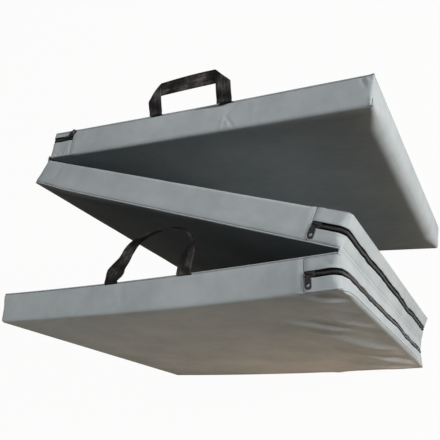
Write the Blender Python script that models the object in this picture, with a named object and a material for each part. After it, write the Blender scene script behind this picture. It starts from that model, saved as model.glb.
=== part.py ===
"""Folding gymnastics mat: three square foam panels in zipped vinyl covers, hinged in a zigzag.

Metres, +Z up. The mat stands half folded on its far long side, the way it is put away or carried.
Panel B is the middle one and lies along X. Panel A folds over its +Y side and panel C over its
-Y side. The origin is the middle of panel B's lower side, on the floor.
"""
import bpy
import bmesh
from math import cos, pi, radians, sin
from mathutils import Matrix, Vector

# Driving dimensions
SIDE = 0.600            # a panel is square
FOAM = 0.050            # thickness of the foam slab
COVER = 0.0007          # coated vinyl cloth
GAP = 0.0003            # between pieces that touch
THICK = FOAM + 2 * (COVER + GAP)
HINGE_OFF = 0.001       # the fold line lies this far outside the panels' planes
FOLD_AB = radians(15)   # how far the half folded mat stands open
FOLD_BC = radians(20)

# Rounded edges of a covered panel
ZIP_CORNER = 0.018      # where the zip runs round the slab's corner
PLAIN_CORNER = 0.006
SEWN_EDGE = 0.0015      # round the face sheet, with the seam in it
SOFT_EDGE = 0.006       # where the wrap turns from the back to the sides
CROWN = 0.002           # the outermost faces stand this proud in the middle
BOW = 0.0045            # panel C is bent this far outwards between its ends
SEGMENTS = 6            # straight lengths that the slab and its bow are made of
FACE_DEPTH = 0.0025     # the face sheet turns this far down the sides

# Zip
BAND_REACH = 0.050      # the zip bands reach this far along each side from the zipped end
SLOT = 0.010            # opening between the two bands
BAND = 2 * COVER        # the bands are folded double
TAPE_WIDE = 0.012
TAPE = 0.0006
COIL_WIDE = 0.005
COIL_TOP = 0.0003       # below the cover's surface
SLIDER_LONG = 0.012
SLIDER_WIDE = 0.009
SLIDER_PLATE = 0.0013
POST_SIDE = 0.0034      # the slider's two posts, from its middle
POST_LONG = 0.0016
POST_WIDE = 0.0018
BRIDGE_TOP = 0.0043
BRIDGE = 0.0011
PULL_LONG = 0.024
PULL_WIDE = 0.009
PULL = 0.0013
PULL_LOW = 0.0016       # underside of the pull above the side of the panel
PULL_HOLE = 0.0027      # radius
EYELET_IN = 0.0017
EYELET_OUT = 0.0031

# Handles
WEBBING = 0.0254
WEB_THICK = 0.0016
LEG_APART = 0.133       # between the middles of a handle's two legs
GRIP_OUT = 0.057        # top edge of the folded handle from its seam
SEAM_OFF = 0.0012       # a handle bends this far outside the sewn edge
LEAN_A = radians(20)    # a handle stands out from the face and leans off the panel
TAIL_LONG = 0.028       # sewn under the face sheet

HALF = SIDE / 2
HALF_T = THICK / 2

parts = bpy.data.collections.new("folding_mat")
cutters = bpy.data.collections.new("cutters")


def clear_scene():
    for old in list(bpy.data.objects):
        bpy.data.objects.remove(old, do_unlink=True)
    bpy.context.scene.collection.children.link(parts)
    bpy.context.scene.collection.children.link(cutters)


def material(name, colour, roughness, metallic=0.0):
    made = bpy.data.materials.new(name)
    made.use_nodes = True
    shader = made.node_tree.nodes["Principled BSDF"]
    shader.inputs["Base Color"].default_value = (*colour, 1)
    shader.inputs["Roughness"].default_value = roughness
    shader.inputs["Metallic"].default_value = metallic
    return made


# Helpers that make one object
def add(name, mesh, paint=None, parent=None, at=(0, 0, 0), turn=0.0):
    thing = bpy.data.objects.new(name, mesh)
    thing.location = at
    thing.rotation_euler.z = turn
    thing.parent = parent
    if paint:
        mesh.materials.append(paint)
        parts.objects.link(thing)
    else:
        thing.hide_render = True
        thing.display_type = "WIRE"
        cutters.objects.link(thing)
    return thing


def mesh_of(name, bm):
    bmesh.ops.recalc_face_normals(bm, faces=bm.faces)
    mesh = bpy.data.meshes.new(name)
    bm.to_mesh(mesh)
    bm.free()
    return mesh


def smooth(thing, angle=radians(35)):
    thing.data.shade_smooth()
    thing.data.set_sharp_from_angle(angle=angle)


def boolean(thing, cutter, operation="DIFFERENCE"):
    step = thing.modifiers.new(cutter.name, "BOOLEAN")
    step.operation = operation
    step.solver = "EXACT"
    step.object = cutter


def box_mesh(name, low, high):
    bm = bmesh.new()
    bmesh.ops.create_cube(bm, size=1)
    size = Vector(high) - Vector(low)
    bmesh.ops.scale(bm, verts=bm.verts, vec=size)
    bmesh.ops.translate(bm, verts=bm.verts, vec=(Vector(low) + Vector(high)) / 2)
    return mesh_of(name, bm)


def outline_mesh(name, outlines, low, high, plane="XY"):
    """A flat outline, with holes if there is more than one loop, extruded from low to high."""
    curve = bpy.data.curves.new(name, "CURVE")
    curve.dimensions = "2D"
    curve.fill_mode = "BOTH"
    curve.extrude = (high - low) / 2
    for points in outlines:
        spline = curve.splines.new("POLY")
        spline.points.add(len(points) - 1)
        for point, (x, y) in zip(spline.points, points):
            point.co = (x, y, 0, 1)
        spline.use_cyclic_u = True
    holder = bpy.data.objects.new(name, curve)
    bpy.context.scene.collection.objects.link(holder)
    bpy.context.view_layer.update()
    flat = bpy.data.meshes.new_from_object(holder.evaluated_get(bpy.context.evaluated_depsgraph_get()))
    bpy.data.objects.remove(holder)
    bpy.data.curves.remove(curve)
    bm = bmesh.new()
    bm.from_mesh(flat)
    bpy.data.meshes.remove(flat)
    bmesh.ops.remove_doubles(bm, verts=bm.verts, dist=0.00001)
    bmesh.ops.translate(bm, verts=bm.verts, vec=(0, 0, (low + high) / 2))
    if plane == "XZ":
        bmesh.ops.rotate(bm, verts=bm.verts, matrix=Matrix.Rotation(radians(90), 3, "X"))
        bmesh.ops.scale(bm, verts=bm.verts, vec=(1, -1, 1))
    return mesh_of(name, bm)


def arc(centre, radius, start, end, steps):
    """Points on an arc about centre, angles in degrees."""
    angles = [radians(start + (end - start) * step / steps) for step in range(steps + 1)]
    return [(centre[0] + radius * cos(angle), centre[1] + radius * sin(angle)) for angle in angles]


class Panel:
    """A panel's own frame has X from the plain end to the other, Y through it and Z up its side.

    zip_end and face are 1 or -1: the end with the zip, and the side with the sewn face sheet.
    """

    def __init__(self, letter, zip_end, face, zip_in, slider_in, crown_side, bow, holder, middle):
        self.letter = letter
        self.zip_end = zip_end
        self.face = face
        self.zip_y = face * (HALF_T - zip_in)
        self.slider_x = zip_end * (HALF - slider_in)
        self.crown_side = crown_side
        self.bow = bow
        self.holder = holder
        self.middle = Vector(middle)

    def put(self, name, mesh, paint, at=(0, 0, 0), turn=0.0):
        return add(f"{name}_{self.letter}", mesh, paint, self.holder, self.middle + Vector(at), turn)

    def cutter(self, name, mesh):
        return add(f"cut_{name}_{self.letter}", mesh, None, self.holder, self.middle)

    def bow_at(self, x):
        """How far the panel is bent at x, towards its back: straight between the slab's lines."""
        half_lines = SEGMENTS // 2
        place = min(abs(x) / HALF, 1) * half_lines
        line = min(int(place), half_lines - 1)
        near, far = (self.bow * (1 - (step / half_lines) ** 2) for step in (line, line + 1))
        return self.face * (near + (far - near) * (place - line))

    def bent(self, mesh):
        for vert in mesh.vertices:
            vert.co.y -= self.bow_at(vert.co.x)
        return mesh

    def layer(self, name, low_x, high_x, top, bottom):
        """All of the space between two depths from the face, bent with the panel."""
        low, high = self.between(top, bottom)
        lines = [step * SIDE / SEGMENTS - HALF for step in range(SEGMENTS + 1)]
        across = [low_x] + [x for x in lines if low_x < x < high_x] + [high_x]
        loop = [(x, low - self.bow_at(x)) for x in across]
        loop += [(x, high - self.bow_at(x)) for x in across[::-1]]
        return self.cutter(name, outline_mesh(name, [loop], -SIDE, 2 * SIDE))

    def block(self, name, inset):
        """The covered slab pulled in by inset, with its rounded edges and crowned outer face."""
        bm = bmesh.new()
        bmesh.ops.create_cube(bm, size=1)
        bmesh.ops.scale(bm, verts=bm.verts, vec=(SIDE - 2 * inset, THICK - 2 * inset, SIDE - 2 * inset))
        bmesh.ops.translate(bm, verts=bm.verts, vec=(0, 0, HALF))
        through = [edge for edge in bm.edges if abs(edge_way(edge).y) > 0.9]
        across = [edge for edge in bm.edges if edge not in through]
        bmesh.ops.subdivide_edges(bm, edges=across, cuts=SEGMENTS - 1, use_grid_fill=True)
        for end, radius in ((self.zip_end, ZIP_CORNER), (-self.zip_end, PLAIN_CORNER)):
            corners = [edge for edge in bm.edges if abs(edge_way(edge).y) > 0.9
                       and all(at_corner(vert.co, end, inset) for vert in edge.verts)]
            bmesh.ops.bevel(bm, geom=corners, offset=radius - inset, segments=4, profile=0.5,
                            affect="EDGES")
        for side, radius, steps in ((self.face, SEWN_EDGE, 1), (-self.face, SOFT_EDGE, 3)):
            level = side * (HALF_T - inset)
            rim = [edge for edge in bm.edges if all(abs(vert.co.y - level) < 1e-6 for vert in edge.verts)
                   and sum(abs(face.normal.y) > 0.9 for face in edge.link_faces) == 1]
            bmesh.ops.bevel(bm, geom=rim, offset=radius - inset, segments=steps, profile=0.5,
                            affect="EDGES")
        if self.crown_side:
            level = self.crown_side * (HALF_T - inset)
            for vert in bm.verts:
                if abs(vert.co.y - level) < 1e-6:
                    vert.co.y += self.crown_side * crown(vert.co.x, vert.co.z)
        return self.bent(mesh_of(name, bm))

    def end_path(self, depth, reach):
        """The zipped end seen from the face, pulled in by depth, from one side round to the other."""
        start = HALF - reach
        centre = HALF - ZIP_CORNER
        radius = ZIP_CORNER - depth
        path = [(start, SIDE - depth)]
        path += arc((centre, SIDE - ZIP_CORNER), radius, 90, 0, 4)
        path += arc((centre, ZIP_CORNER), radius, 0, -90, 4)
        path += [(start, depth)]
        return [(self.zip_end * x, z) for x, z in path]

    def end_strip(self, name, outer, inner, side_low, side_high, reach=BAND_REACH):
        """A strip round the zipped end between two depths."""
        loop = self.end_path(outer, reach) + self.end_path(inner, reach)[::-1]
        return self.bent(outline_mesh(name, [loop], side_low, side_high, "XZ"))

    def between(self, from_face_low, from_face_high):
        """Y values of two planes given by their distance from the face."""
        return sorted(self.face * (HALF_T - depth) for depth in (from_face_low, from_face_high))


def edge_way(edge):
    return (edge.verts[1].co - edge.verts[0].co).normalized()


def at_corner(point, end, inset):
    reach = HALF - inset - 1e-5
    return point.x * end > reach and abs(point.z - HALF) > reach


def crown(x, z):
    return CROWN * (1 - (x / HALF) ** 2) * (1 - ((z - HALF) / HALF) ** 2)


# Cover and filling
def make_cover(panel, paint):
    inner = panel.cutter("inside", panel.block("inside", COVER))
    past = -THICK
    face_space = panel.layer("face_space", -SIDE, SIDE, past, FACE_DEPTH)
    rest_cut = panel.layer("off_face", -SIDE, SIDE, past, FACE_DEPTH + GAP)
    near, far = sorted(panel.zip_end * x for x in (HALF - BAND_REACH - GAP, SIDE))
    end_cut = panel.layer("end_space", near, far, past, THICK - SOFT_EDGE)
    sheet = panel.put("face_sheet", panel.block("face_sheet", 0), paint)
    boolean(sheet, inner)
    boolean(sheet, face_space, "INTERSECT")
    wrap = panel.put("wrap_sheet", panel.block("wrap_sheet", 0), paint)
    boolean(wrap, inner)
    boolean(wrap, rest_cut)
    boolean(wrap, end_cut)


def make_zip(panel, vinyl, cloth, teeth):
    zip_in = HALF_T - panel.face * panel.zip_y
    edges = ((FACE_DEPTH + GAP, zip_in - SLOT / 2), (zip_in + SLOT / 2, THICK - SOFT_EDGE - GAP))
    for name, (top, bottom) in zip(("zip_band_face", "zip_band_back"), edges):
        low, high = panel.between(top, bottom)
        panel.put(name, panel.end_strip(name, 0, BAND, low, high), vinyl)
    tape_top = BAND + GAP
    for name, side in (("zip_tape_face", 1), ("zip_tape_back", -1)):
        way = panel.face * side
        low, high = sorted(panel.zip_y + way * y for y in (GAP, TAPE_WIDE))
        panel.put(name, panel.end_strip(name, tape_top, tape_top + TAPE, low, high, BAND_REACH - 0.001), cloth)
    low, high = panel.zip_y - COIL_WIDE / 2, panel.zip_y + COIL_WIDE / 2
    coil = panel.end_strip("zip_coil", COIL_TOP, tape_top - GAP, low, high, BAND_REACH - 0.001)
    panel.put("zip_coil", coil, teeth)


def make_foam(panel, paint, tails):
    foam = panel.put("foam_core", panel.block("foam_core", COVER + GAP), paint)
    outside = -0.004
    groove_in = BAND + TAPE + 2 * GAP
    low, high = panel.between(-THICK, THICK - SOFT_EDGE)
    band_room = panel.end_strip("band_room", outside, BAND + GAP, low, high, BAND_REACH + 0.001)
    boolean(foam, panel.cutter("band_room", band_room))
    reach = TAPE_WIDE + GAP
    tape_room = panel.end_strip("tape_room", outside * 1.5, groove_in + GAP, panel.zip_y - reach,
                                panel.zip_y + reach, BAND_REACH + 0.002)
    boolean(foam, panel.cutter("tape_room", tape_room))
    if tails:
        for way in (-1, 1):
            middle = way * LEG_APART / 2
            low, high = panel.between(-0.01, COVER + WEB_THICK + 3 * GAP)
            room = box_mesh("tail_room", (middle - WEBBING / 2 - GAP, low, SIDE - TAIL_LONG - 0.004),
                            (middle + WEBBING / 2 + GAP, high, SIDE + 0.01))
            boolean(foam, panel.cutter("tail_room", panel.bent(room)))


# Slider and pull, with the opening way of the zip along X and the panel's side at Z = 0
def make_slider(panel, paint):
    half_long = SLIDER_LONG / 2
    half_wide = SLIDER_WIDE / 2
    nose = 0.0028
    shield = [(-half_long, -nose), (-half_long + nose / 2, -half_wide + 0.001), (0.001, -half_wide),
              (half_long - 0.001, -half_wide), (half_long, -half_wide + 0.001)]
    shield += [(x, -y) for x, y in shield[::-1]]
    plate = outline_mesh("slider", [shield], 0, SLIDER_PLATE)
    out = POST_SIDE + POST_LONG / 2
    into = POST_SIDE - POST_LONG / 2
    sunk = SLIDER_PLATE - 0.0003
    round_top = 0.0008
    frame = [(-out, sunk), (-out, BRIDGE_TOP - round_top), (-out + round_top, BRIDGE_TOP),
             (out - round_top, BRIDGE_TOP), (out, BRIDGE_TOP - round_top), (out, sunk)]
    window_low = SLIDER_PLATE - 0.0001
    window_high = BRIDGE_TOP - BRIDGE
    window = [(-into, window_low), (-into, window_high), (into, window_high), (into, window_low)]
    bridge = outline_mesh("slider_bridge", [frame, window], -POST_WIDE / 2, POST_WIDE / 2, "XZ")
    turn = 0 if panel.zip_end > 0 else pi
    at = Vector((panel.slider_x, panel.zip_y - panel.bow_at(panel.slider_x), SIDE))
    slider = panel.put("zip_slider", plate, paint, at, turn)
    tool = add(f"join_slider_{panel.letter}", bridge, None, panel.holder, panel.middle + at, turn)
    boolean(slider, tool, "UNION")


def pull_outlines():
    """The pull lies along X from its eyelet at the origin."""
    tip = PULL_LONG - EYELET_OUT
    body = 0.0062
    half = PULL_WIDE / 2
    neck = 0.0026
    tip_round = 0.0035
    upper = [(EYELET_OUT + 0.0006, neck), (body, half - 0.0004), (body + 0.0012, half)]
    upper += arc((tip - tip_round, half - tip_round), tip_round, 90, 0, 4)
    lower = [(x, -y) for x, y in upper[::-1]]
    loop = upper + lower + arc((0, 0), EYELET_OUT, 300, 60, 10)
    hole = arc((tip - 0.0055, 0), PULL_HOLE, 0, 337.5, 15)
    eyelet = arc((0, 0), EYELET_IN, 0, 330, 11)
    return [loop, hole, eyelet]


def make_pull(panel, paint, direction):
    at = Vector((panel.slider_x - panel.zip_end * POST_SIDE,
                 panel.zip_y - panel.bow_at(panel.slider_x), SIDE))
    mesh = outline_mesh("pull", pull_outlines(), PULL_LOW, PULL_LOW + PULL)
    panel.put("zip_pull", mesh, paint, at, direction)


# Handles, in the frame of their sewn edge: X along it, Y out of the face, Z up off the panel
def handle_seat(panel):
    return Vector((0, panel.face * (HALF_T + SEAM_OFF) - panel.bow_at(LEG_APART / 2), SIDE + SEAM_OFF))


def make_folded_handle(panel, paint, lean):
    """Flat webbing, folded over at 45 degrees at both corners, so that the grip runs behind."""
    half = WEBBING / 2
    root = -0.0004
    inner = LEG_APART / 2 - half
    outer = LEG_APART / 2 + half
    low = GRIP_OUT - WEBBING
    fold = 0.0003
    leg = [(inner, root), (outer, root), (outer, low + fold), (inner, GRIP_OUT + fold)]
    grip = [(fold - outer, low), (fold - inner, GRIP_OUT), (inner - fold, GRIP_OUT), (outer - fold, low)]
    pieces = [(leg, 0), ([(-x, y) for x, y in leg], 0), (grip, -0.0014)]
    meshes = [outline_mesh("strap", [points], level - WEB_THICK / 2, level + WEB_THICK / 2)
              for points, level in pieces]
    tilt = Matrix.Rotation(lean, 4, "X")
    if panel.face < 0:
        tilt = Matrix.Rotation(pi, 4, "Z") @ tilt
    for mesh in meshes:
        mesh.transform(tilt)
    at = handle_seat(panel)
    handle = panel.put("handle", meshes[2], paint, at)
    for number, mesh in enumerate(meshes[:2]):
        leg_tool = add(f"join_handle_{panel.letter}{number}", mesh, None, panel.holder, panel.middle + at)
        boolean(handle, leg_tool, "UNION")


def catmull(points, share):
    """A point on a smooth curve through the points, share from 0 to 1."""
    place = share * (len(points) - 1)
    start = min(int(place), len(points) - 2)
    t = place - start
    p0 = points[max(start - 1, 0)]
    p1 = points[start]
    p2 = points[start + 1]
    p3 = points[min(start + 2, len(points) - 1)]
    return (p1 + (p2 - p0) * (t / 2) + (p0 * 2 - p1 * 5 + p2 * 4 - p3) * (t * t / 2)
            + (p1 * 3 - p0 - p2 * 3 + p3) * (t ** 3 / 2))


# Route of the loose handle's middle line from its left leg: along the seam, out of the face and
# up off the panel, with how far the strap is turned from lying flat, in degrees
LOOSE_ROUTE = [
    (-0.0665, 0.000, 0.0000, 0),
    (-0.0635, 0.008, 0.0018, 3),
    (-0.0560, 0.020, 0.0038, 6),
    (-0.0465, 0.032, 0.0064, 12),
    (-0.0370, 0.044, 0.0096, 36),
    (-0.0215, 0.054, 0.0134, 76),
    (0.0000, 0.062, 0.0158, 99),
    (0.0280, 0.067, 0.0175, 110),
    (0.0550, 0.067, 0.0175, 112),
    (0.0760, 0.060, 0.0160, 102),
    (0.0830, 0.049, 0.0132, 62),
    (0.0780, 0.034, 0.0094, 30),
    (0.0715, 0.014, 0.0045, 10),
    (0.0665, 0.000, 0.0000, 0),
]
SEWN_SQUARE = 0.016     # this close to the seam the strap turns to lie along it


def make_loose_handle(panel, paint):
    """The same strap arched and twisted, as a strip lofted along its route."""
    steps = 32
    places = [Vector(row[:3]) for row in LOOSE_ROUTE]
    rolls = [Vector((radians(row[3]), 0, 0)) for row in LOOSE_ROUTE]
    bm = bmesh.new()
    rings = []
    for step in range(steps + 1):
        share = step / steps
        middle = catmull(places, share)
        if 0 < step < steps:
            run = catmull(places, share + 0.01) - catmull(places, share - 0.01)
        else:
            run = Vector((0, 1 if step == 0 else -1, 0))
        run.normalize()
        rise = (Vector((0, 0, 1)) - run * run.z).normalized()
        side = rise.cross(run)
        roll = catmull(rolls, share).x
        across = side * cos(roll) + rise * sin(roll)
        along = Vector((1 if across.x > 0 else -1, 0, 0))
        wide = along.lerp(across, min(max(middle.y / SEWN_SQUARE, 0), 1)).normalized() * (WEBBING / 2)
        thin = wide.cross(run).normalized() * (WEB_THICK / 2)
        corners = (middle + wide + thin, middle - wide + thin, middle - wide - thin, middle + wide - thin)
        rings.append([bm.verts.new(corner) for corner in corners])
    for ring, after in zip(rings, rings[1:]):
        for corner in range(4):
            following = (corner + 1) % 4
            bm.faces.new((ring[corner], ring[following], after[following], after[corner]))
    bm.faces.new(rings[0])
    bm.faces.new(rings[-1])
    if panel.face < 0:
        bmesh.ops.rotate(bm, verts=bm.verts, matrix=Matrix.Rotation(pi, 3, "Z"))
    handle = panel.put("handle", mesh_of("handle", bm), paint, handle_seat(panel))
    smooth(handle)


def make_tails(panel, paint):
    """The ends of the handle's webbing, sewn in under the face sheet."""
    low, high = panel.between(COVER + GAP, COVER + GAP + WEB_THICK)
    top = SIDE - COVER - 2 * GAP
    for name, way in (("handle_tail_left", -1), ("handle_tail_right", 1)):
        middle = way * LEG_APART / 2
        tail = box_mesh(name, (middle - WEBBING / 2, low, top - TAIL_LONG),
                        (middle + WEBBING / 2, high, top))
        panel.put(name, panel.bent(tail), paint)


def make_hinge_seam(name, paint, at):
    """The covers are sewn together along the fold, with a rolled seam on the fold line."""
    radius = 0.0012
    margin = 0.006
    bm = bmesh.new()
    bmesh.ops.create_cone(bm, cap_ends=True, segments=10, radius1=radius, radius2=radius,
                          depth=SIDE - 2 * margin)
    bmesh.ops.translate(bm, verts=bm.verts, vec=(0, 0, HALF))
    seam = add(name, mesh_of(name, bm), paint, None, at)
    smooth(seam)


def holder(name, at, turn):
    made = bpy.data.objects.new(name, None)
    made.location = at
    made.rotation_euler.z = turn
    parts.objects.link(made)
    return made


def main():
    clear_scene()
    vinyl = material("grey_vinyl", (0.22, 0.24, 0.245), 0.42)
    foam = material("white_foam", (0.80, 0.79, 0.74), 0.9)
    webbing = material("black_webbing", (0.018, 0.018, 0.02), 0.75)
    tape = material("zip_tape", (0.012, 0.012, 0.013), 0.8)
    coil = material("zip_coil", (0.02, 0.02, 0.022), 0.4)
    metal = material("black_zip_metal", (0.025, 0.025, 0.028), 0.35, 0.8)

    edge = HALF + HINGE_OFF
    level = HALF_T + HINGE_OFF
    axis_ab = (-edge, level, 0)
    axis_bc = (edge, -level, 0)
    hold_a = holder("fold_ab", axis_ab, FOLD_AB)
    hold_b = holder("middle_panel", (0, 0, 0), 0)
    hold_c = holder("fold_bc", axis_bc, FOLD_BC)
    panel_a = Panel("a", -1, 1, 0.016, 0.036, 1, 0, hold_a, (edge, level, 0))
    panel_b = Panel("b", 1, -1, 0.026, 0.042, 0, 0, hold_b, (0, 0, 0))
    panel_c = Panel("c", 1, 1, 0.026, 0.040, -1, BOW, hold_c, (-edge, -level, 0))
    pull_ways = {"a": radians(40), "b": radians(-90), "c": radians(-90)}
    for panel in (panel_a, panel_b, panel_c):
        tails = panel is not panel_b
        make_cover(panel, vinyl)
        make_foam(panel, foam, tails)
        make_zip(panel, vinyl, tape, coil)
        make_slider(panel, metal)
        make_pull(panel, metal, pull_ways[panel.letter])
        if tails:
            make_tails(panel, webbing)
    make_folded_handle(panel_a, webbing, LEAN_A)
    make_loose_handle(panel_c, webbing)
    make_hinge_seam("hinge_seam_ab", vinyl, axis_ab)
    make_hinge_seam("hinge_seam_bc", vinyl, axis_bc)


main()
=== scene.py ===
"""Looks of the folding gymnastics mat: vinyl covers, zips, webbing handles, light and camera."""
from math import cos, pi, radians, sin

import bmesh
import bpy
import numpy as np
from mathutils import Matrix, Vector
from mathutils.bvhtree import BVHTree


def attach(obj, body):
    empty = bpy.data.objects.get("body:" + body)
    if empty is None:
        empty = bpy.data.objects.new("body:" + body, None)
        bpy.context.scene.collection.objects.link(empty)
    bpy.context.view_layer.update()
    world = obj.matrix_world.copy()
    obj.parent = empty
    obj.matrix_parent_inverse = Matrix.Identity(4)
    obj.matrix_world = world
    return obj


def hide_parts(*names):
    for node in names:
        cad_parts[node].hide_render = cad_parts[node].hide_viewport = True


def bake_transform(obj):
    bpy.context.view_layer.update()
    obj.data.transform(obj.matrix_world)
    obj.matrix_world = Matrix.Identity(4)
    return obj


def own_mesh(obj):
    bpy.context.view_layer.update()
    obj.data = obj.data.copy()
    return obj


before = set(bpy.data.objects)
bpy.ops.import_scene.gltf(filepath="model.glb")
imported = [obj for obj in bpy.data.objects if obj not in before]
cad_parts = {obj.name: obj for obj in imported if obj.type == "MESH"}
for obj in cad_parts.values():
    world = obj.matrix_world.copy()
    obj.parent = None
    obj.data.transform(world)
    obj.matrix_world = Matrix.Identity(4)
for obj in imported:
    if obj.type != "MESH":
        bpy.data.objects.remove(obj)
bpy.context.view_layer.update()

# Sizes shared with the solids, in metres
SIDE = 0.600
HALF = SIDE / 2
THICK = 0.052
HALF_T = THICK / 2
HINGE_OFF = 0.001
ZIP_CORNERS = {"a": 0.009, "b": 0.013, "c": 0.014}
# At the zipped end the corners are less round at the face and at the back
END_CORNERS = {"a": (0.008, 0.007), "b": (0.0055, 0.008), "c": (0.0055, 0.004)}
PLAIN_CORNER = 0.006
SEWN_EDGE = 0.0015
SOFT_EDGE = 0.006
FACE_DEPTH = 0.0025
C_SEAM = 0.0045         # from C's back to the line along which its band is sewn on
BAND_REACH = 0.050
SLOT = 0.010
WEBBING = 0.0254
WEB_THICK = 0.0016
LEG_APART = 0.133
SEAM_OFF = 0.0012


class Panel:
    """One panel's own frame: X along it, Y through it, Z up its side from the floor.

    zip_end and face are 1 or -1: the end with the zip, and the side with the sewn face sheet.
    """

    def __init__(self, letter, zip_end, face, zip_in, slider_in, crown, bow, hinge, turn, middle):
        self.letter = letter
        self.body = f"panel_{letter}"
        self.zip_end = zip_end
        self.face = face
        self.zip_in = zip_in
        self.zip_corner = ZIP_CORNERS[letter]
        self.slider_x = zip_end * (HALF - slider_in)
        self.crown = crown
        self.bow = bow
        self.place = (Matrix.Translation(hinge) @ Matrix.Rotation(turn, 4, "Z")
                      @ Matrix.Translation(middle))

    def depth_y(self, depth):
        return self.face * (HALF_T - depth)

    def bow_at(self, x):
        """How far the panel is bent at x, towards its back."""
        return self.face * self.bow * (1 - (x / HALF) ** 2)

    def solid_bow_at(self, x):
        """The same bend in the solids, which is straight between seven lines."""
        lines = np.linspace(-HALF, HALF, 7)
        return float(np.interp(x, lines, self.bow_at(lines)))

    def end_drop(self, x, up, depth):
        """How far C's outer face falls away towards its zipped end."""
        if self.letter != "c":
            return 0 * x
        drop = 0.0055 * ease(HALF - self.zip_end * x, 0.060, 0.012) * ease(np.abs(up), 0.292, 0.230)
        return drop * ease(depth, 0.032, 0.050)

    def zip_shift(self, along):
        """How far the zip wanders out of line, along its way round the end."""
        fade = ease(along, 0.045, 0.10) * ease(along, 0.684, 0.62)
        seed = ord(self.letter)
        drift = 0.0052 + 0.0034 * hill(along - 0.380, 0.060) if self.letter == "c" else 0
        waves = 0.0011 * wander(along, 0.036, seed) + 0.0005 * wander(along, 0.013, seed + 7)
        return fade * (drift + waves)


EDGE = HALF + HINGE_OFF
LEVEL = HALF_T + HINGE_OFF
PANELS = {
    "a": Panel("a", -1, 1, 0.016, 0.036, 0.002, 0.0, (-EDGE, LEVEL, 0), radians(15), (EDGE, LEVEL, 0)),
    "b": Panel("b", 1, -1, 0.026, 0.042, 0.0, 0.0, (0, 0, 0), 0.0, (0, 0, 0)),
    "c": Panel("c", 1, 1, 0.026, 0.040, 0.002, 0.0045, (EDGE, -LEVEL, 0), radians(20),
               (-EDGE, -LEVEL, 0)),
}


# Materials
class Nodes:
    """Short calls for the node tree of a material or a world."""

    def __init__(self, owner):
        self.owner = owner
        owner.use_nodes = True
        self.tree = owner.node_tree

    def feed(self, node, inputs):
        """Links or sets a node's inputs, given by name or number."""
        for key, value in inputs.items():
            if isinstance(value, bpy.types.NodeSocket):
                self.tree.links.new(value, node.inputs[key])
            else:
                node.inputs[key].default_value = value

    def add(self, kind, output, inputs, **settings):
        node = self.tree.nodes.new("ShaderNode" + kind)
        for key, value in settings.items():
            setattr(node, key, value)
        self.feed(node, inputs)
        return node.outputs[output]

    def coordinates(self, kind="Object"):
        return self.add("TexCoord", kind, {})

    def scaled(self, source, scale):
        return self.add("Mapping", "Vector", {"Vector": source, "Scale": scale})

    def noise(self, vector, scale, detail=2.0, roughness=0.5, distortion=0.0):
        return self.add("TexNoise", "Fac", {"Vector": vector, "Scale": scale, "Detail": detail,
                                            "Roughness": roughness, "Distortion": distortion})

    def cells(self, vector, scale):
        return self.add("TexVoronoi", "Distance", {"Vector": vector, "Scale": scale})

    def wave(self, vector, scale, direction="X", distortion=0.0):
        return self.add("TexWave", "Fac", {"Vector": vector, "Scale": scale, "Distortion": distortion},
                        bands_direction=direction)

    def ramp(self, factor, *stops):
        node = self.tree.nodes.new("ShaderNodeValToRGB")
        elements = node.color_ramp.elements
        while len(elements) < len(stops):
            elements.new(0.5)
        for element, (place, colour) in zip(elements, stops):
            element.position = place
            element.color = (*colour, 1)
        self.feed(node, {"Fac": factor})
        return node.outputs["Color"]

    def span(self, factor, low, high):
        return self.add("MapRange", "Result", {"Value": factor, "To Min": low, "To Max": high})

    def math(self, operation, first, second):
        return self.add("Math", "Value", {0: first, 1: second}, operation=operation)

    def total(self, *terms):
        """The sum of several outputs, each with its share."""
        result = 0.0
        for source, share in terms:
            result = self.add("Math", "Value", {0: source, 1: share, 2: result}, operation="MULTIPLY_ADD")
        return result

    def finish(self, colour, roughness, bumps=(), specular=0.5):
        """Sets the shader. Each bump is a height, its strength and its depth in metres."""
        shader = self.tree.nodes["Principled BSDF"]
        self.feed(shader, {"Base Color": colour, "Roughness": roughness, "Specular IOR Level": specular})
        under = {}
        for height, strength, distance in bumps:
            inputs = {"Height": height, "Strength": strength, "Distance": distance, **under}
            under = {"Normal": self.add("Bump", "Normal", inputs)}
        self.feed(shader, under)
        return self.owner

    def show_white(self, lit, output, share):
        """White to the camera and in reflections, as much as share says, and lit to all other rays."""
        path = self.tree.nodes.new("ShaderNodeLightPath").outputs
        seen = self.math("MAXIMUM", path["Is Camera Ray"], path["Is Glossy Ray"])
        seen = self.math("MAXIMUM", seen, path["Is Transmission Ray"])
        white = self.add("Emission", "Emission", {})
        part = self.math("MULTIPLY", seen, share)
        mixed = self.add("MixShader", "Shader", {"Fac": part, 1: lit, 2: white})
        self.feed(self.tree.nodes[output], {"Surface": mixed})


def material(name):
    return Nodes(bpy.data.materials.new(name))


def vinyl_material():
    """Coated cloth: satin, finely grained, with faint clouding, rubbing and the base cloth's weave."""
    n = material("grey_vinyl")
    place = n.coordinates()
    clouds = n.noise(place, 9.0, 3.0, 0.55)
    marks = n.noise(n.scaled(place, (1.0, 1.0, 2.2)), 46.0, 4.0, 0.6, 0.4)
    tone = n.total((clouds, 0.7), (marks, 0.3))
    colour = n.ramp(tone, (0.36, (0.217, 0.237, 0.244)), (0.64, (0.270, 0.289, 0.295)))
    swells = n.noise(place, 34.0, 2.0, 0.4)
    weave = n.math("MULTIPLY", n.wave(place, 420.0, "X", 0.6), n.wave(place, 420.0, "Z", 0.6))
    grain = n.cells(place, 950.0)
    fine = n.noise(place, 2600.0, 2.0, 0.6)
    bumps = [(swells, 0.10, 0.0016), (weave, 0.08, 0.00008), (grain, 0.30, 0.00010), (fine, 0.15, 0.00005)]
    return n.finish(colour, n.span(marks, 0.50, 0.64), bumps, 0.0)


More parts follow.
